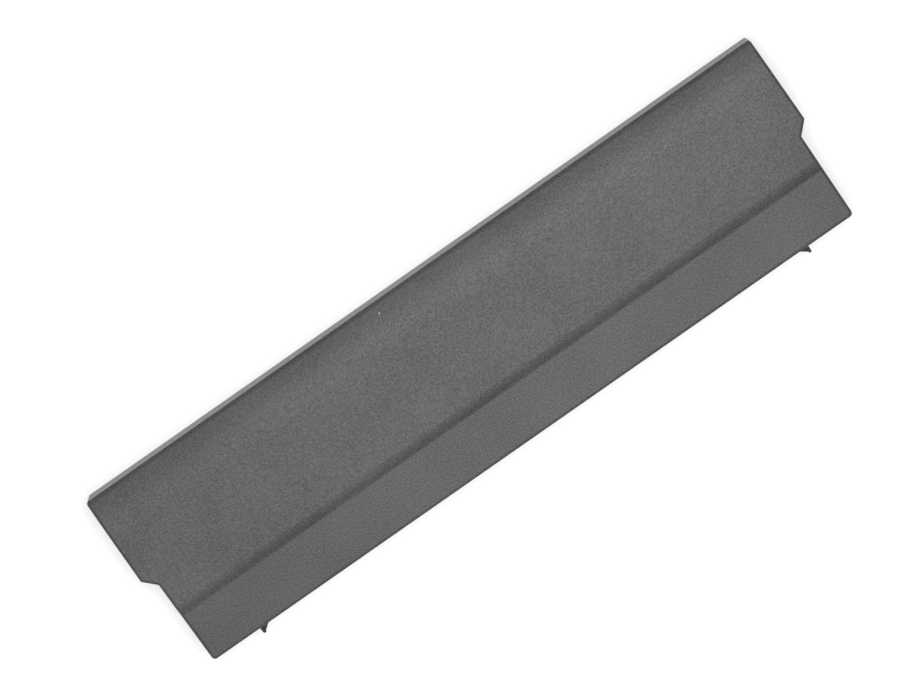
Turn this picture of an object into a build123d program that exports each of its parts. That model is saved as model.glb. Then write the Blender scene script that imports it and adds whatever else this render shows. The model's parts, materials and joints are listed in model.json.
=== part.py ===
from build123d import *
import os

# Laptop battery pack: six cylindrical cells and a protection board in a housing of two moulded shells.
# X runs along the pack, +Y points to its rear wall, -Y to its connector and +Z to its grained outer face.
# The origin is below the middle of the pack, on the plane it rests on. Sizes are in millimetres.

# Cells in their sleeves
cells_per_row = 3
cell_diameter = 18.4
cell_length = 65.2
cap_diameter = 9.0
cap_height = 0.4

# Strips across the cell ends, with the cards and pads that insulate them
strip_thickness = 0.2
strip_width = 8.0
strip_overhang = 5.0
tab_width = 3.0
tab_gap = 0.6
foot_length = 2.0
ribbon_inset = 2.0
card_thickness = 0.6
card_gap = 0.4
pad_thickness = 0.8
pad_gap = 0.3
pad_reach = 6.0

# Housing
wall = 1.1
rear_gap = 0.2
row_gap = 0.2
roof_gap = 0.1
cell_seat = 0.3
bay_width = 13.1
end_step = 3.3
end_taper = 0.4
step_start = 24.9
step_run = 3.3
crown_lead = 1.2
crown_drop = 1.15
shoulder_run = 1.2
shoulder_drop = 0.95
slope_lead = 6.25
slope_run = 2.8
lip_drop = 0.72
lip_root = 1.5
rear_corner = 0.9
front_corner = 1.1
step_corner = 0.9
step_root = 0.6
inner_corner = 0.3
edge_radius = 0.8
base_chamfer = 0.7
upright_limit = 1e-6

# Seam between the shells
seam_chamfer = 0.12
tongue_height = 1.5
tongue_fit = 0.1

# Ribs inside the shells
saddle_fit = 0.1
rib_thickness = 1.2
rib_inset = 14.0
rib_reach = 5.0
stop_thickness = 1.0
partition_gap = 0.2
partition_thickness = 1.0
partition_drop = 0.4

# Hooks on the front edge
hook_inset = 14.95
hook_width = 0.85
hook_reach = 2.5
hook_height = 4.6
hook_tip = 0.8
hook_rise = 0.5
gusset_base = 2.5
gusset_reach = 2.0
gusset_set = 0.6

# Circuit board
board_length = 130.0
board_thickness = 1.0
board_lift = 2.4
board_gap = 0.3
peg_length = 1.8
peg_fit = 0.1
peg_rise = 0.8
peg_inset = 9.0
peg_edge = 2.2
rest_spread = 10.0

# Connector
connector_x = -40.0
connector_height = 4.9
connector_depth = 7.0
connector_fit = 0.1
connector_rim = 1.5
flange_width = 1.2
contacts = 9
contact_pitch = 3.0
slot_width = 1.6
slot_height = 3.4
contact_fit = 0.05
contact_thickness = 0.25
contact_setback = 0.8
contact_leg = 0.8
contact_foot = 1.2

# Parts on the board
chip_standoff = 0.1
leg_width = 0.4
leg_reach = 0.9
leg_thickness = 0.25
gauge_length = 9.8
gauge_width = 4.4
gauge_height = 1.1
gauge_legs = 7
gauge_pitch = 1.27
mosfet_length = 5.0
mosfet_width = 3.9
mosfet_height = 1.5
mosfet_legs = 4
mosfet_pitch = 1.27
resistor_length = 6.4
resistor_width = 3.2
resistor_height = 0.6
terminal_length = 0.9
terminal_height = 0.75
fuse_length = 5.4
fuse_width = 3.2
fuse_height = 1.2
fuse_bevel = 0.2
thermistor_length = 1.6
thermistor_width = 0.8
thermistor_height = 0.8
capacitors = 4
capacitor_gap = 1.15
capacitor_length = 2.0
capacitor_width = 1.25
capacitor_height = 1.1
part_setback = 1.4
part_gap = 4.0

# Sizes that follow
can_length = cell_length - cap_height
mid_gap = 2 * strip_thickness + card_thickness
end_gap = strip_thickness + pad_thickness + pad_gap
stack_length = cells_per_row * cell_length + (cells_per_row - 1) * mid_gap
front_length = stack_length + 2 * (end_gap + wall)
rear_length = front_length + 2 * end_step
body_width = wall + rear_gap + 2 * cell_diameter + row_gap + bay_width + wall
height = wall + cell_seat + cell_diameter + roof_gap + wall

# Places across the pack
rear_y = (body_width + hook_reach) / 2
front_y = rear_y - body_width
rear_axis_y = rear_y - wall - rear_gap - cell_diameter / 2
front_axis_y = rear_axis_y - cell_diameter - row_gap
row_axes = (rear_axis_y, front_axis_y)
axis_z = wall + cell_seat + cell_diameter / 2
crown_y = rear_axis_y - crown_lead
slope_y = front_axis_y - slope_lead
step_y = rear_y - step_start
partition_y = front_axis_y - cell_diameter / 2 - partition_gap
bay_y = partition_y - partition_thickness
partition_top = axis_z - tab_width / 2 - partition_drop

# Places of the board, the connector and the seam
board_rear_y = bay_y - board_gap
board_front_y = front_y + wall + board_gap
board_y = (board_rear_y + board_front_y) / 2
board_bottom = wall + board_lift
board_top = board_bottom + board_thickness
seam_z = board_top + connector_height + connector_fit
peg_x = board_length / 2 - peg_inset
peg_y = board_rear_y - peg_edge
part_y = board_y - part_setback

# Places along the board, one part after another from the connector's end
nose_length = contacts * contact_pitch + connector_rim
capacitor_pitch = capacitor_width + capacitor_gap
capacitor_x = connector_x + nose_length / 2 + flange_width + part_gap + capacitor_width / 2
thermistor_x = capacitor_x + capacitors * capacitor_pitch + part_gap + thermistor_length / 2
gauge_x = thermistor_x + thermistor_length / 2 + part_gap + gauge_length / 2
mosfet_spacing = mosfet_length + part_gap
mosfet_x = gauge_x + gauge_length / 2 + part_gap + mosfet_length / 2
resistor_x = mosfet_x + mosfet_spacing + mosfet_length / 2 + part_gap + resistor_length / 2
fuse_x = resistor_x + resistor_length / 2 + part_gap + fuse_length / 2

# Inner faces that the tongue, the ribs and the hooks start from
skirt = (wall - tongue_fit) / 2
inner_end = front_length / 2 - wall
hook_x = front_length / 2 - hook_inset
hook_z = seam_z + seam_chamfer + hook_rise

# Boxes that stand on the place they are given
upwards = (Align.CENTER, Align.CENTER, Align.MIN)


def station_start(station):
    """X of the negative end of the cells at one station along the pack."""
    return station * (cell_length + mid_gap) - stack_length / 2


def section(inset=0):
    """Cross-section of the housing across the pack, moved inwards by inset."""
    with BuildSketch() as profile:
        with BuildLine():
            crown = TangentArc(
                (crown_y, height), (rear_y - shoulder_run, height - crown_drop), tangent=(1, 0)
            )
            shoulder = TangentArc(
                crown @ 1, (rear_y, height - crown_drop - shoulder_drop), tangent=crown % 1
            )
            Polyline(shoulder @ 1, (rear_y, 0), (front_y, 0), (front_y, height - lip_drop))
            lip = Line((front_y, height - lip_drop), (slope_y - slope_run, height - lip_drop))
            slope = TangentArc((slope_y, height), lip @ 1, tangent=(-1, 0))
            Line(slope @ 0, crown @ 0)
        make_face()
        fillet(profile.vertices().sort_by_distance(lip @ 1)[0], lip_root)
        if inset:
            offset(amount=-inset, kind=Kind.INTERSECTION)
    return profile.sketch


def plan(inset=0):
    """Outline of the housing seen from above, moved inwards by inset, with rounded corners."""
    right = [
        (front_length / 2 - end_taper, front_y),
        (front_length / 2, step_y - step_run),
        (rear_length / 2, step_y),
        (rear_length / 2, rear_y),
    ]
    left = [(-x, y) for x, y in reversed(right)]
    convex = [max(radius - inset, inner_corner) for radius in (front_corner, step_corner, rear_corner)]
    radii = [convex[0], step_root + inset, convex[1], convex[2]]
    with BuildSketch() as outline:
        Polygon(*right, *left, align=None)
        if inset:
            offset(amount=-inset, kind=Kind.INTERSECTION)
        for corner, radius in zip(right + left, radii + radii[::-1]):
            fillet(outline.vertices().sort_by_distance(corner)[0], radius)
    return outline.sketch


def cross_rib(low, high):
    """Rib between two heights that fills the housing's section and is hollowed round both rows of cells."""
    with BuildSketch() as rib:
        add(section(wall / 2))
        with Locations((partition_y, low)):
            Rectangle(body_width, high - low, align=Align.MIN, mode=Mode.INTERSECT)
        with Locations(*[(y, axis_z) for y in row_axes]):
            Circle(cell_diameter / 2 + saddle_fit, mode=Mode.SUBTRACT)
    return rib.sketch


def end_stop(low, high):
    """Inner wall between two heights that carries on the line of the front end wall behind the step."""
    with BuildSketch() as stop:
        add(section(wall / 2))
        with Locations((step_y - step_run, low)):
            Rectangle(body_width, high - low, align=Align.MIN, mode=Mode.INTERSECT)
    return stop.sketch


def ramp(top):
    """Side view of a hook that is as high as top at the front wall and slopes down to its tip."""
    with BuildSketch() as profile:
        Polygon(
            (front_y + wall / 2, hook_z),
            (front_y + wall / 2, hook_z + top),
            (front_y, hook_z + top),
            (front_y - hook_reach, hook_z + top - hook_height + hook_tip),
            (front_y - hook_reach, hook_z),
            align=None,
        )
    return profile.sketch


station_starts = [station_start(station) for station in range(cells_per_row)]
saddle_places = [start + rib_inset for start in station_starts]
saddle_places += [start + cell_length - rib_inset for start in station_starts]
clamp_places = [start + cell_length / 2 for start in station_starts]
stop_places = (inner_end, -inner_end - stop_thickness)
board_rests = (-peg_x, connector_x - rest_spread, connector_x + rest_spread, peg_x)

os.makedirs("parts", exist_ok=True)

# Outer form of the closed housing, with a rounded top edge and a chamfered base
with BuildPart() as housing:
    with BuildSketch(Plane.YZ):
        add(section())
    extrude(amount=rear_length / 2, both=True)
    with BuildSketch():
        add(plan())
    extrude(amount=height, mode=Mode.INTERSECT)
    chamfer(housing.faces().sort_by(Axis.Z)[0].edges(), base_chamfer)
    walls = housing.faces().filter_by(lambda face: abs(face.normal_at().Z) < upright_limit)
    rims = walls.edges().filter_by(Axis.Z, reverse=True)
    fillet(rims.filter_by_position(Axis.Z, seam_z, height), edge_radius)

# Space inside the closed housing
with BuildPart() as cavity:
    with BuildSketch(Plane.YZ):
        add(section(wall))
    extrude(amount=rear_length / 2, both=True)
    with BuildSketch():
        add(plan(wall))
    extrude(amount=height, mode=Mode.INTERSECT)

# Prong of the left hook, with a round tip and a top that slopes down to it
with BuildPart() as prong:
    with BuildSketch(Plane.XY.offset(hook_z)):
        with Locations((-hook_x, front_y + wall / 2)):
            Rectangle(hook_width, hook_reach + wall / 2 - hook_width / 2, align=(Align.CENTER, Align.MAX))
        with Locations((-hook_x, front_y - hook_reach + hook_width / 2)):
            Circle(hook_width / 2)
    extrude(amount=hook_height)
    with BuildSketch(Plane.YZ.offset(-hook_x)):
        add(ramp(hook_height))
    extrude(amount=hook_width, both=True, mode=Mode.INTERSECT)

# Gusset on the inner side of that prong, with a lower sloping top
with BuildPart() as gusset:
    with BuildSketch(Plane.XY.offset(hook_z)):
        Polygon(
            (-hook_x, front_y + wall / 2),
            (-hook_x, front_y - gusset_reach),
            (-hook_x + hook_width / 2, front_y - gusset_reach),
            (-hook_x + hook_width / 2 + gusset_base, front_y),
            (-hook_x + hook_width / 2 + gusset_base, front_y + wall / 2),
            align=None,
        )
    extrude(amount=hook_height)
    with BuildSketch(Plane.YZ.offset(-hook_x)):
        add(ramp(hook_height - gusset_set))
    extrude(amount=hook_width + gusset_base, both=True, mode=Mode.INTERSECT)

# Outer cover: the grained shell, with a rebate for the tray's tongue, cell ribs and two hooks
with BuildPart() as outer_cover:
    add(housing.part)
    split(bisect_by=Plane.XY.offset(seam_z), keep=Keep.TOP)
    chamfer(outer_cover.faces().sort_by(Axis.Z)[0].edges(), seam_chamfer)
    add(cavity.part, mode=Mode.SUBTRACT)
    with BuildSketch(Plane.XY.offset(seam_z)):
        add(plan(skirt))
    extrude(amount=tongue_height + tongue_fit, mode=Mode.SUBTRACT)
    for x in clamp_places:
        with BuildSketch(Plane.YZ.offset(x)):
            add(cross_rib(axis_z + rib_reach, height))
        extrude(amount=rib_thickness / 2, both=True)
    for x in stop_places:
        with BuildSketch(Plane.YZ.offset(x)):
            add(end_stop(seam_z + tongue_height + tongue_fit, height))
        extrude(amount=stop_thickness)
    add(prong.part)
    add(gusset.part)
    mirror(prong.part, about=Plane.YZ)
    mirror(gusset.part, about=Plane.YZ)
outer_cover.part.label = "outer_cover"
export_step(outer_cover.part, "parts/outer_cover.step")

# Inner tray: floor and lower walls, with a tongue, cell saddles, the board bay and the connector's notch
with BuildPart() as inner_tray:
    add(housing.part)
    split(bisect_by=Plane.XY.offset(seam_z), keep=Keep.BOTTOM)
    chamfer(inner_tray.faces().sort_by(Axis.Z)[-1].edges(), seam_chamfer)
    add(cavity.part, mode=Mode.SUBTRACT)
    with BuildSketch(Plane.XY.offset(seam_z)):
        add(plan(skirt + tongue_fit))
        add(plan(wall), mode=Mode.SUBTRACT)
    extrude(amount=tongue_height)
    for x in saddle_places:
        with BuildSketch(Plane.YZ.offset(x)):
            add(cross_rib(wall / 2, axis_z - rib_reach))
        extrude(amount=rib_thickness / 2, both=True)
    for x in stop_places:
        with BuildSketch(Plane.YZ.offset(x)):
            add(end_stop(wall / 2, seam_z))
        extrude(amount=stop_thickness)
    with BuildSketch(Plane.XY.offset(wall / 2)):
        with Locations((0, bay_y)):
            Rectangle(2 * inner_end + wall, partition_thickness, align=(Align.CENTER, Align.MIN))
    extrude(amount=partition_top - wall / 2)
    with BuildSketch(Plane.XY.offset(wall / 2)):
        with Locations(*[(x, front_y + wall / 2) for x in board_rests]):
            Rectangle(rib_thickness, bay_y - front_y, align=(Align.CENTER, Align.MIN))
    extrude(amount=board_bottom - wall / 2)
    with BuildSketch(Plane.XY.offset(board_bottom)):
        with Locations((peg_x, peg_y), (-peg_x, peg_y)):
            Rectangle(rib_thickness, peg_length)
    extrude(amount=board_thickness + peg_rise)
    with Locations((connector_x, front_y + wall / 2, board_top - connector_fit)):
        Box(
            nose_length + 2 * connector_fit,
            2 * wall,
            connector_height + 2 * connector_fit + tongue_height,
            align=upwards,
            mode=Mode.SUBTRACT,
        )
inner_tray.part.label = "inner_tray"
export_step(inner_tray.part, "parts/inner_tray.step")

# Cells, all with the cap towards +X
for row, axis_y in enumerate(row_axes):
    for station in range(cells_per_row):
        number = row * cells_per_row + station + 1
        start = station_start(station)
        with BuildPart() as cell:
            with BuildSketch(Plane.YZ.offset(start)):
                with Locations((axis_y, axis_z)):
                    Circle(cell_diameter / 2)
            extrude(amount=can_length)
            with BuildSketch(Plane.YZ.offset(start + can_length)):
                with Locations((axis_y, axis_z)):
                    Circle(cap_diameter / 2)
            extrude(amount=cap_height)
        cell.part.label = f"cell_{number}"
        export_step(cell.part, f"parts/cell_{number}.step")


def strip_plate(tab_end):
    """Strip across the ends of both rows, with a tab that reaches over the partition to tab_end."""
    with BuildSketch() as plate:
        with Locations(((rear_axis_y + front_axis_y) / 2, axis_z)):
            Rectangle(rear_axis_y - front_axis_y + 2 * strip_overhang, strip_width)
        with Locations((tab_end, axis_z)):
            Rectangle(front_axis_y - tab_end, tab_width, align=(Align.MIN, Align.CENTER))
    return plate.sketch


tab_y = bay_y - tab_gap
ribbon_end = board_length / 2 - ribbon_inset
ribbon_length = stack_length / 2 + strip_thickness - ribbon_end

# End strips, with a ribbon along the bay that comes down on the board
for name, side in (("bus_negative", -1), ("bus_positive", 1)):
    with BuildPart() as bus:
        with BuildSketch(Plane.YZ.offset(stack_length / 2)):
            add(strip_plate(tab_y - strip_thickness))
        extrude(amount=strip_thickness)
        with BuildSketch(Plane.XZ.offset(-tab_y)):
            with Locations((ribbon_end, axis_z)):
                Rectangle(ribbon_length, tab_width, align=(Align.MIN, Align.CENTER))
            with Locations((ribbon_end, board_top)):
                Rectangle(tab_width, axis_z + tab_width / 2 - board_top, align=(Align.MAX, Align.MIN))
        extrude(amount=strip_thickness)
        with Locations((ribbon_end, tab_y, board_top)):
            Box(tab_width, foot_length, strip_thickness, align=(Align.MAX, Align.MAX, Align.MIN))
        if side < 0:
            mirror(about=Plane.YZ, mode=Mode.REPLACE)
    bus.part.label = name
    export_step(bus.part, f"parts/{name}.step")

# Middle strips, folded over a card between one cell and the next
for joint in range(cells_per_row - 1):
    start = station_start(joint) + cell_length
    fold_z = axis_z + strip_width / 2
    with BuildPart() as bus:
        with BuildSketch(Plane.YZ.offset(start)):
            add(strip_plate(tab_y - tab_width))
            with Locations((tab_y, board_top)):
                Rectangle(tab_width, axis_z + tab_width / 2 - board_top, align=(Align.MAX, Align.MIN))
        extrude(amount=strip_thickness)
        with BuildSketch(Plane.YZ.offset(start + mid_gap)):
            add(strip_plate(front_axis_y - strip_overhang))
        extrude(amount=-strip_thickness)
        with Locations((start, (rear_axis_y + front_axis_y) / 2, fold_z)):
            Box(
                mid_gap,
                rear_axis_y - front_axis_y + 2 * strip_overhang,
                strip_thickness,
                align=(Align.MIN, Align.CENTER, Align.MAX),
            )
        with Locations((start, tab_y, board_top)):
            Box(foot_length, tab_width, strip_thickness, align=(Align.MIN, Align.MAX, Align.MIN))
    bus.part.label = f"bus_mid_{joint + 1}"
    export_step(bus.part, f"parts/bus_mid_{joint + 1}.step")

    with BuildPart() as card:
        with BuildSketch(Plane.YZ.offset(start + strip_thickness)):
            with Locations((partition_y + card_gap, wall)):
                Rectangle(
                    rear_y - wall - partition_y - 2 * card_gap,
                    fold_z - strip_thickness - wall,
                    align=Align.MIN,
                )
        extrude(amount=card_thickness)
    card.part.label = f"bus_card_{joint + 1}"
    export_step(card.part, f"parts/bus_card_{joint + 1}.step")

# Pads between the end strips and the housing
for name, side in (("end_insulator_left", -1), ("end_insulator_right", 1)):
    with BuildPart() as pad:
        with BuildSketch(Plane.YZ.offset(side * (stack_length / 2 + strip_thickness))):
            with Locations((partition_y + card_gap, wall)):
                Rectangle(
                    rear_y - wall - partition_y - 2 * card_gap,
                    axis_z + pad_reach - wall,
                    align=Align.MIN,
                )
        extrude(amount=side * pad_thickness)
    pad.part.label = name
    export_step(pad.part, f"parts/{name}.step")

# Circuit board on the tray's rests, held by their pegs
with BuildPart() as circuit_board:
    with BuildSketch(Plane.XY.offset(board_bottom)):
        with Locations((0, board_y)):
            Rectangle(board_length, board_rear_y - board_front_y)
        with Locations((peg_x, peg_y), (-peg_x, peg_y)):
            Rectangle(rib_thickness + 2 * peg_fit, peg_length + 2 * peg_fit, mode=Mode.SUBTRACT)
    extrude(amount=board_thickness)
circuit_board.part.label = "circuit_board"
export_step(circuit_board.part, "parts/circuit_board.step")


def leaded_chip(x, length, width, thickness, legs, pitch):
    """Moulded chip on the board with a row of legs along both long sides."""
    with BuildPart() as chip:
        with Locations((x, part_y, board_top + chip_standoff)):
            Box(length, width, thickness, align=upwards)
        with BuildSketch(Plane.XY.offset(board_top)):
            with Locations((x, part_y)):
                with GridLocations(pitch, width, legs, 2):
                    Rectangle(leg_width, 2 * leg_reach)
        extrude(amount=leg_thickness)
    return chip.part


gauge_chip = leaded_chip(gauge_x, gauge_length, gauge_width, gauge_height, gauge_legs, gauge_pitch)
gauge_chip.label = "gauge_chip"
export_step(gauge_chip, "parts/gauge_chip.step")

for number in (1, 2):
    mosfet = leaded_chip(
        mosfet_x + (number - 1) * mosfet_spacing,
        mosfet_length,
        mosfet_width,
        mosfet_height,
        mosfet_legs,
        mosfet_pitch,
    )
    mosfet.label = f"mosfet_{number}"
    export_step(mosfet, f"parts/mosfet_{number}.step")

# Current-sense resistor: a flat body between two raised terminals
with BuildPart() as sense_resistor:
    with Locations((resistor_x, part_y, board_top)):
        Box(resistor_length, resistor_width, resistor_height, align=upwards)
        with GridLocations(resistor_length - terminal_length, 0, 2, 1):
            Box(terminal_length, resistor_width, terminal_height, align=upwards)
sense_resistor.part.label = "sense_resistor"
export_step(sense_resistor.part, "parts/sense_resistor.step")

# Fuse: a low body with sloping sides
with BuildPart() as fuse:
    with Locations((fuse_x, part_y, board_top)):
        Box(fuse_length, fuse_width, fuse_height, align=upwards)
    chamfer(fuse.faces().sort_by(Axis.Z)[-1].edges(), fuse_bevel)
fuse.part.label = "fuse"
export_step(fuse.part, "parts/fuse.step")

with BuildPart() as thermistor:
    with Locations((thermistor_x, part_y, board_top)):
        Box(thermistor_length, thermistor_width, thermistor_height, align=upwards)
thermistor.part.label = "thermistor"
export_step(thermistor.part, "parts/thermistor.step")

for number in range(1, capacitors + 1):
    with BuildPart() as capacitor:
        with Locations((capacitor_x + (number - 1) * capacitor_pitch, part_y, board_top)):
            Box(capacitor_width, capacitor_length, capacitor_height, align=upwards)
    capacitor.part.label = f"capacitor_{number}"
    export_step(capacitor.part, f"parts/capacitor_{number}.step")

# Connector: a nose flush with the front wall, a flange behind the wall, and a slot for each contact
with BuildPart() as connector_housing:
    with Locations((connector_x, front_y, board_top)):
        Box(nose_length, connector_depth, connector_height, align=(Align.CENTER, Align.MIN, Align.MIN))
    with Locations((connector_x, front_y + wall + connector_fit, board_top)):
        Box(
            nose_length + 2 * flange_width,
            connector_depth - wall - connector_fit,
            connector_height,
            align=(Align.CENTER, Align.MIN, Align.MIN),
        )
    with BuildSketch(Plane.XZ.offset(-front_y)):
        with Locations((connector_x, board_top + connector_height / 2)):
            with GridLocations(contact_pitch, 0, contacts, 1):
                Rectangle(slot_width, slot_height)
    extrude(amount=-connector_depth, mode=Mode.SUBTRACT)
connector_housing.part.label = "connector_housing"
export_step(connector_housing.part, "parts/connector_housing.step")

# Contacts: a fork in each slot, with a leg down the back of the connector and a foot on the board
for number in range(1, contacts + 1):
    contact_x = connector_x + (number - (contacts + 1) / 2) * contact_pitch
    fork_width = slot_width - 2 * contact_fit
    fork_height = slot_height - 2 * contact_fit
    fork_bottom = board_top + (connector_height - fork_height) / 2
    back_y = front_y + connector_depth + contact_fit
    with BuildPart() as contact:
        with BuildSketch(Plane.XY.offset(fork_bottom)):
            with Locations((contact_x, back_y + contact_thickness)):
                Rectangle(
                    fork_width,
                    connector_depth + contact_fit + contact_thickness - contact_setback,
                    align=(Align.CENTER, Align.MAX),
                )
            with Locations((contact_x, back_y)):
                Rectangle(
                    fork_width - 2 * contact_thickness,
                    connector_depth,
                    align=(Align.CENTER, Align.MAX),
                    mode=Mode.SUBTRACT,
                )
        extrude(amount=fork_height)
        with Locations((contact_x, back_y, board_top)):
            Box(
                contact_leg,
                contact_thickness,
                connector_height / 2,
                align=(Align.CENTER, Align.MIN, Align.MIN),
            )
            Box(contact_leg, contact_foot, contact_thickness, align=(Align.CENTER, Align.MIN, Align.MIN))
    contact.part.label = f"contact_{number}"
    export_step(contact.part, f"parts/contact_{number}.step")
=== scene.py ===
"""Looks of the laptop battery: a material for each CAD node, a white floor, soft light and the camera."""

import json
import math

import bpy
from mathutils import Matrix, Vector


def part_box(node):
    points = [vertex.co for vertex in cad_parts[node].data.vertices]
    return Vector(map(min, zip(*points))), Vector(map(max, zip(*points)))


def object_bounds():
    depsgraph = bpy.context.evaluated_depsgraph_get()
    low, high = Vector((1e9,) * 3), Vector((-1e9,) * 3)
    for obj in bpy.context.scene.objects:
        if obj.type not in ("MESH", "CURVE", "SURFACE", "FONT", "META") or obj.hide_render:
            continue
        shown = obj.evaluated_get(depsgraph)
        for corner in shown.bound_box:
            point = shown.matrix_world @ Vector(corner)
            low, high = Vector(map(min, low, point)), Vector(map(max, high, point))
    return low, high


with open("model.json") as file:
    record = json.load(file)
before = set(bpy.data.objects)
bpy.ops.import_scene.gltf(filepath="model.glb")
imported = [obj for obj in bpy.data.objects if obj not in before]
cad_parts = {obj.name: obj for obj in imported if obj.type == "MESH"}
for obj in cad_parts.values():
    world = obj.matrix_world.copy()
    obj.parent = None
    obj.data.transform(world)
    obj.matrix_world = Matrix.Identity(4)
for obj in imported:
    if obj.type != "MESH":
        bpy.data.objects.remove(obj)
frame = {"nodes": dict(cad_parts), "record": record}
cad_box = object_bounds()

MM = 0.001

# Camera: far above the pack and a little behind it, turned so that the pack lies across the picture
VIEW_AIM = Vector((-3.8, 7.2, 20.0)) * MM
VIEW_HEIGHT = 2184.0 * MM
VIEW_LEAN_RIGHT = 0.0296
VIEW_LEAN_BACK = 0.072
VIEW_ROLL = math.radians(-35.048)
VIEW_LENS = 339.45
SENSOR_WIDTH = 36.0

# Light: a round softbox almost straight above, a weaker one before the pack, and a low even fill
SOFTBOXES = {
    "softbox_above": (Vector((40.0, 90.0, 1200.0)) * MM, 450.0 * MM, 10.8),
    "softbox_front": (Vector((0.0, -350.0, 1150.0)) * MM, 500.0 * MM, 3.0),
}
FILL_COLOR = (1.0, 1.0, 1.0, 1.0)
FILL_STRENGTH = 0.06

# Floor: white paper, lighter to the eye than its light alone would make it
FLOOR_SIZE = 8.0
FLOOR_DROP = 0.05 * MM
PAPER_COLOR = (0.45, 0.45, 0.45, 1.0)
PAPER_GLOW = 0.66

# Marks on the cover: a pale fleck on its face, and painted shade that makes each hook darker than the grain
FLECK_PLACE = Vector((-14.1, 24.3, 20.0)) * MM
FLECK_SIZE = 0.35 * MM
FLECK_GREY = 0.36
# Painted shade: this dark grey on each hook stands in for the shade it sits in, not a different plastic
HOOK_SHADE_GREY = 0.03

# Unevenness of the finishes: how far roughness strays, and broad pale patches in moulded plastic
PLASTIC_ROUGHNESS_SPREAD = 0.05
METAL_ROUGHNESS_SPREAD = 0.08
PATCH_SPAN = 40.0
PATCH_SHARE = 0.25
SPECKLE_START = 0.4
SPECKLE_END = 0.85

# Colours of the finishes, each as its darkest and its palest tone
SLEEVE_BLUES = ((0.14, 0.25, 0.34, 1.0), (0.18, 0.29, 0.38, 1.0))
CARD_GREYS = ((0.36, 0.34, 0.3, 1.0), (0.46, 0.44, 0.4, 1.0))
RESIST_GREENS = ((0.012, 0.1, 0.04, 1.0), (0.03, 0.17, 0.06, 1.0))
LAMINATE_TAN = (0.4, 0.34, 0.2, 1.0)
NICKEL_TONES = ((0.56, 0.54, 0.5, 1.0), (0.66, 0.64, 0.6, 1.0))
GOLD_TONES = ((0.78, 0.56, 0.22, 1.0), (0.86, 0.64, 0.3, 1.0))
CHIP_BLACKS = ((0.014, 0.014, 0.015, 1.0), (0.03, 0.03, 0.032, 1.0))
CERAMIC_TANS = ((0.26, 0.19, 0.12, 1.0), (0.34, 0.25, 0.16, 1.0))
CERAMIC_WHITES = ((0.42, 0.42, 0.4, 1.0), (0.5, 0.5, 0.48, 1.0))
STEEL_GREY = 0.55
TIN_GREY = 0.62


def grey(value):
    """Colour with the same value in red, green and blue."""
    return (value, value, value, 1.0)


def new_material(name, **values):
    """Material with one Principled shader that has these values, and that shader."""
    material = bpy.data.materials.new(name)
    material.use_nodes = True
    shader = material.node_tree.nodes["Principled BSDF"]
    for socket, value in values.items():
        shader.inputs[socket.replace("_", " ")].default_value = value
    return material, shader


def join(shader, source, socket):
    """Link a source socket to one of the shader's sockets."""
    shader.id_data.links.new(source, shader.inputs[socket])


def place(shader, output="Object"):
    """Coordinates on the piece: Object is in metres, Generated runs from 0 to 1 across the piece."""
    return shader.id_data.nodes.new("ShaderNodeTexCoord").outputs[output]


def noise(shader, size, detail=2.0, stretch=(1.0, 1.0, 1.0)):
    """Noise whose features are about size metres across, longer along an axis that stretch makes larger."""
    tree = shader.id_data
    mapping = tree.nodes.new("ShaderNodeMapping")
    mapping.inputs["Scale"].default_value = [1.0 / (size * factor) for factor in stretch]
    tree.links.new(place(shader), mapping.inputs["Vector"])
    texture = tree.nodes.new("ShaderNodeTexNoise")
    texture.inputs["Scale"].default_value = 1.0
    texture.inputs["Detail"].default_value = detail
    tree.links.new(mapping.outputs["Vector"], texture.inputs["Vector"])
    return texture.outputs["Fac"]


def spread(shader, source, low, high, start=0.3, end=0.7):
    """Map a value from start..end to low..high."""
    node = shader.id_data.nodes.new("ShaderNodeMapRange")
    node.inputs["From Min"].default_value = start
    node.inputs["From Max"].default_value = end
    node.inputs["To Min"].default_value = low
    node.inputs["To Max"].default_value = high
    shader.id_data.links.new(source, node.inputs["Value"])
    return node.outputs["Result"]


def math_node(shader, operation, first, second):
    """Result of one math operation; each operand is a socket or a number."""
    node = shader.id_data.nodes.new("ShaderNodeMath")
    node.operation = operation
    for socket, operand in zip(node.inputs, (first, second)):
        if isinstance(operand, (int, float)):
            socket.default_value = operand
        else:
            shader.id_data.links.new(operand, socket)
    return node.outputs["Value"]


def blend_color(shader, factor, first, second):
    """Colour that goes from first to second with the factor; each is a socket or a colour."""
    node = shader.id_data.nodes.new("ShaderNodeMix")
    node.data_type = "RGBA"
    shader.id_data.links.new(factor, node.inputs["Factor"])
    for socket, color in zip(("A", "B"), (first, second)):
        target = [item for item in node.inputs if item.name == socket and item.type == "RGBA"][0]
        if isinstance(color, tuple):
            target.default_value = color
        else:
            shader.id_data.links.new(color, target)
    return [item for item in node.outputs if item.type == "RGBA"][0]


def bump(shader, height, depth):
    """Surface relief of the given depth in metres."""
    node = shader.id_data.nodes.new("ShaderNodeBump")
    node.inputs["Distance"].default_value = depth
    shader.id_data.links.new(height, node.inputs["Height"])
    join(shader, node.outputs["Normal"], "Normal")


def along(shader, axis, output="Generated"):
    """One coordinate of the chosen kind."""
    node = shader.id_data.nodes.new("ShaderNodeSeparateXYZ")
    shader.id_data.links.new(place(shader, output), node.inputs["Vector"])
    return node.outputs[axis]


def ends(shader, axis, share):
    """1 on the outer share of the piece at both of its ends along an axis, 0 between them."""
    offset = math_node(shader, "SUBTRACT", along(shader, axis), 0.5)
    return math_node(shader, "GREATER_THAN", math_node(shader, "ABSOLUTE", offset, 0.0), 0.5 - share)


def facing(shader, axis, limit=0.8):
    """1 where the surface faces along an axis, in either direction, 0 elsewhere."""
    slant = math_node(shader, "ABSOLUTE", along(shader, axis, "Normal"), 0.0)
    return math_node(shader, "GREATER_THAN", slant, limit)


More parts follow.
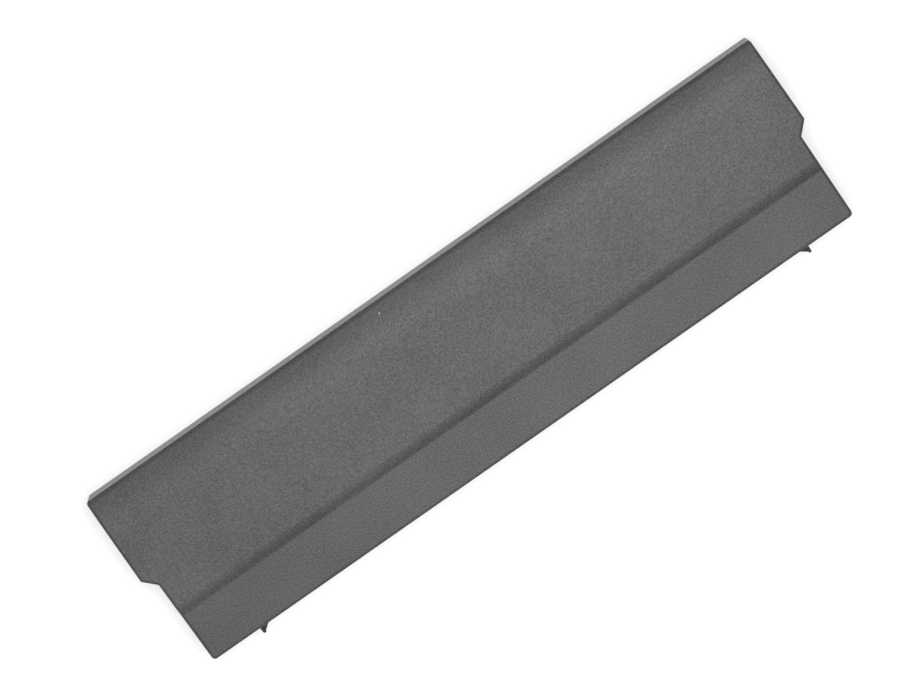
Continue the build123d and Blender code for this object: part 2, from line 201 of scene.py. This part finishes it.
def near(shader, spot, reach):
    """1 within reach of a spot on the piece, 0 beyond it."""
    node = shader.id_data.nodes.new("ShaderNodeVectorMath")
    node.operation = "DISTANCE"
    node.inputs[1].default_value = spot
    shader.id_data.links.new(place(shader), node.inputs[0])
    return math_node(shader, "LESS_THAN", node.outputs["Value"], reach)


def cover_fleck_and_hook_shade(shader, color):
    """Colour of the cover with painted shade that darkens each hook before the front wall, and the fleck on
    its face.
    """
    front_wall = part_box("inner_tray")[0][1]
    # Painted shade: everything before the front wall, that is each hook, is coloured a darker grey
    hook_shade_mask = math_node(shader, "LESS_THAN", along(shader, "Y", "Object"), front_wall)
    color = blend_color(shader, hook_shade_mask, color, grey(HOOK_SHADE_GREY))
    return blend_color(shader, near(shader, FLECK_PLACE, FLECK_SIZE), color, grey(FLECK_GREY))


def moulded_plastic(name, low, high, grain, depth, roughness, specular, marks_and_shade=None):
    """Moulded plastic with a spark-eroded grain: fine relief, and a little lighter on its high points."""
    material, shader = new_material(name, Specular_IOR_Level=specular)
    fine = noise(shader, grain, 3.0)
    patches = noise(shader, PATCH_SPAN * grain, 1.0)
    speckle = math_node(shader, "ADD", fine, math_node(shader, "MULTIPLY", patches, PATCH_SHARE))
    paleness = spread(shader, speckle, 0.0, 1.0, SPECKLE_START, SPECKLE_END)
    color = blend_color(shader, paleness, grey(low), grey(high))
    # On the cover this adds the fleck and the painted shade on each hook
    join(shader, marks_and_shade(shader, color) if marks_and_shade else color, "Base Color")
    rough, smooth = roughness + PLASTIC_ROUGHNESS_SPREAD, roughness - PLASTIC_ROUGHNESS_SPREAD
    join(shader, spread(shader, fine, rough, smooth), "Roughness")
    bump(shader, fine, depth)
    return material


def cell_sleeve():
    """Shrink sleeve with faint draw lines round the cell, and bare steel where the ends show."""
    material, shader = new_material("cell_sleeve", Specular_IOR_Level=0.5)
    lines = noise(shader, 0.6 * MM, 2.0, (0.4, 6.0, 6.0))
    sleeve = blend_color(shader, spread(shader, lines, 0.0, 1.0), *SLEEVE_BLUES)
    steel = facing(shader, "X")
    join(shader, blend_color(shader, steel, sleeve, grey(STEEL_GREY)), "Base Color")
    join(shader, steel, "Metallic")
    join(shader, spread(shader, lines, 0.22, 0.36), "Roughness")
    bump(shader, lines, 0.01 * MM)
    return material


def rolled_metal(name, tones, roughness):
    """Rolled and plated strip with fine lines along its length."""
    material, shader = new_material(name, Metallic=1.0)
    lines = noise(shader, 0.15 * MM, 3.0, (1.0, 30.0, 1.0))
    join(shader, blend_color(shader, spread(shader, lines, 0.0, 1.0), *tones), "Base Color")
    smooth, rough = roughness - METAL_ROUGHNESS_SPREAD, roughness + METAL_ROUGHNESS_SPREAD
    join(shader, spread(shader, lines, smooth, rough), "Roughness")
    bump(shader, lines, 0.004 * MM)
    return material


def insulating_card():
    """Grey pressed card with short fibres."""
    material, shader = new_material("insulating_card", Specular_IOR_Level=0.2)
    fibres = noise(shader, 0.25 * MM, 4.0, (1.0, 5.0, 1.5))
    join(shader, blend_color(shader, spread(shader, fibres, 0.0, 1.0), *CARD_GREYS), "Base Color")
    join(shader, spread(shader, fibres, 0.75, 0.95), "Roughness")
    bump(shader, fibres, 0.02 * MM)
    return material


def board_laminate():
    """Green solder resist over copper tracks, with bare laminate at the cut edges."""
    material, shader = new_material("board_laminate", Specular_IOR_Level=0.5)
    tracks = noise(shader, 0.8 * MM, 0.0, (8.0, 1.0, 1.0))
    copper = spread(shader, tracks, 0.0, 1.0, 0.49, 0.51)
    resist = blend_color(shader, copper, *RESIST_GREENS)
    flat = facing(shader, "Z")
    join(shader, blend_color(shader, flat, LAMINATE_TAN, resist), "Base Color")
    join(shader, spread(shader, noise(shader, 0.3 * MM), 0.25, 0.4), "Roughness")
    bump(shader, copper, 0.02 * MM)
    return material


def tinned_part(name, axis, share, tones, roughness):
    """Body of a soldered part, with tinned ends or legs on its outer share along an axis."""
    material, shader = new_material(name, Specular_IOR_Level=0.4)
    fine = noise(shader, 0.12 * MM, 3.0)
    body = blend_color(shader, spread(shader, fine, 0.0, 1.0), *tones)
    tin = ends(shader, axis, share)
    join(shader, blend_color(shader, tin, body, grey(TIN_GREY)), "Base Color")
    join(shader, tin, "Metallic")
    smooth, rough = roughness - METAL_ROUGHNESS_SPREAD, roughness + METAL_ROUGHNESS_SPREAD
    join(shader, spread(shader, fine, smooth, rough), "Roughness")
    bump(shader, fine, 0.008 * MM)
    return material


def paper_floor():
    """White paper. Seen by the camera or in a reflection it glows a little, so its shadows stay pale."""
    material = bpy.data.materials.new("paper_floor")
    material.use_nodes = True
    tree = material.node_tree
    tree.nodes.remove(tree.nodes["Principled BSDF"])
    rays = tree.nodes.new("ShaderNodeLightPath")
    seen = rays.outputs["Is Camera Ray"]
    for output in ("Is Glossy Ray", "Is Transmission Ray"):
        either = tree.nodes.new("ShaderNodeMath")
        either.operation = "MAXIMUM"
        tree.links.new(seen, either.inputs[0])
        tree.links.new(rays.outputs[output], either.inputs[1])
        seen = either.outputs["Value"]
    share = tree.nodes.new("ShaderNodeMath")
    share.operation = "MULTIPLY"
    share.inputs[1].default_value = PAPER_GLOW
    tree.links.new(seen, share.inputs[0])
    paper = tree.nodes.new("ShaderNodeBsdfDiffuse")
    paper.inputs["Color"].default_value = PAPER_COLOR
    glow = tree.nodes.new("ShaderNodeEmission")
    tree.links.new(share.outputs["Value"], glow.inputs["Strength"])
    both = tree.nodes.new("ShaderNodeAddShader")
    tree.links.new(paper.outputs["BSDF"], both.inputs[0])
    tree.links.new(glow.outputs["Emission"], both.inputs[1])
    tree.links.new(both.outputs["Shader"], tree.nodes["Material Output"].inputs["Surface"])
    return material


def dress_nodes():
    """Give each CAD node the material of its slot. Soldered parts differ by where their ends or legs are."""
    slots = {
        "cover_plastic": moulded_plastic(
            "cover_plastic",
            low=0.059,
            high=0.125,
            grain=0.45 * MM,
            depth=0.048 * MM,
            roughness=0.33,
            specular=0.1,
            marks_and_shade=cover_fleck_and_hook_shade,
        ),
        "tray_plastic": moulded_plastic(
            "tray_plastic",
            low=0.08,
            high=0.11,
            grain=0.35 * MM,
            depth=0.02 * MM,
            roughness=0.32,
            specular=0.1,
        ),
        "connector_plastic": moulded_plastic(
            "connector_plastic",
            low=0.012,
            high=0.02,
            grain=0.3 * MM,
            depth=0.01 * MM,
            roughness=0.4,
            specular=0.15,
        ),
        "cell_sleeve": cell_sleeve(),
        "nickel_strip": rolled_metal("nickel_strip", NICKEL_TONES, roughness=0.32),
        "insulating_card": insulating_card(),
        "board_laminate": board_laminate(),
        "chip_plastic": tinned_part("chip_plastic", "Y", 0.146, CHIP_BLACKS, roughness=0.5),
        "contact_metal": rolled_metal("contact_metal", GOLD_TONES, roughness=0.22),
    }
    soldered = {
        "capacitor": tinned_part("capacitor_ceramic", "Y", 0.22, CERAMIC_TANS, roughness=0.4),
        "thermistor": tinned_part("thermistor_ceramic", "X", 0.22, CHIP_BLACKS, roughness=0.4),
        "sense_resistor": tinned_part("resistor_ceramic", "X", 0.14, CHIP_BLACKS, roughness=0.45),
        "fuse": tinned_part("fuse_ceramic", "X", 0.16, CERAMIC_WHITES, roughness=0.4),
    }
    for part in frame["record"]["subparts"]:
        name = part["node"]
        kind = name.rstrip("0123456789").rstrip("_")
        materials = frame["nodes"][name].data.materials
        materials.clear()
        materials.append(soldered.get(kind) or slots[part["material_slot"]])


def add_floor():
    """Floor just under the pack."""
    half = FLOOR_SIZE / 2
    mesh = bpy.data.meshes.new("floor")
    corners = [(-half, -half), (half, -half), (half, half), (-half, half)]
    mesh.from_pydata([(x, y, cad_box[0][2] - FLOOR_DROP) for x, y in corners], [], [(0, 1, 2, 3)])
    floor = bpy.data.objects.new("floor", mesh)
    floor.data.materials.append(paper_floor())
    bpy.context.scene.collection.objects.link(floor)


def add_light():
    """Softboxes above the pack, aimed at it, and the even fill from all round."""
    for name, (spot, diameter, power) in SOFTBOXES.items():
        lamp = bpy.data.lights.new(name, "AREA")
        lamp.shape = "DISK"
        lamp.size = diameter
        lamp.energy = power
        softbox = bpy.data.objects.new(name, lamp)
        softbox.location = spot
        softbox.rotation_euler = (-spot).to_track_quat("-Z", "Y").to_euler()
        softbox.visible_camera = False
        bpy.context.scene.collection.objects.link(softbox)
    world = bpy.data.worlds.new("fill")
    world.use_nodes = True
    background = world.node_tree.nodes["Background"]
    background.inputs["Color"].default_value = FILL_COLOR
    background.inputs["Strength"].default_value = FILL_STRENGTH
    bpy.context.scene.world = world


def add_camera():
    """Camera at the photograph's viewing angle."""
    toward = Vector((VIEW_LEAN_RIGHT, VIEW_LEAN_BACK, 1.0))
    place_above = VIEW_AIM + toward * VIEW_HEIGHT
    back = toward.normalized()
    right = Vector((0.0, 1.0, 0.0)).cross(back).normalized()
    up = back.cross(right)
    turn = Matrix((right, up, back)).transposed() @ Matrix.Rotation(VIEW_ROLL, 3, "Z")
    lens = bpy.data.cameras.new("camera")
    lens.lens = VIEW_LENS
    lens.sensor_fit = "HORIZONTAL"
    lens.sensor_width = SENSOR_WIDTH
    camera = bpy.data.objects.new("camera", lens)
    camera.matrix_world = Matrix.Translation(place_above) @ turn.to_4x4()
    bpy.context.scene.collection.objects.link(camera)
    bpy.context.scene.camera = camera


dress_nodes()
add_floor()
add_light()
add_camera()
bpy.context.scene.view_settings.view_transform = "Standard"
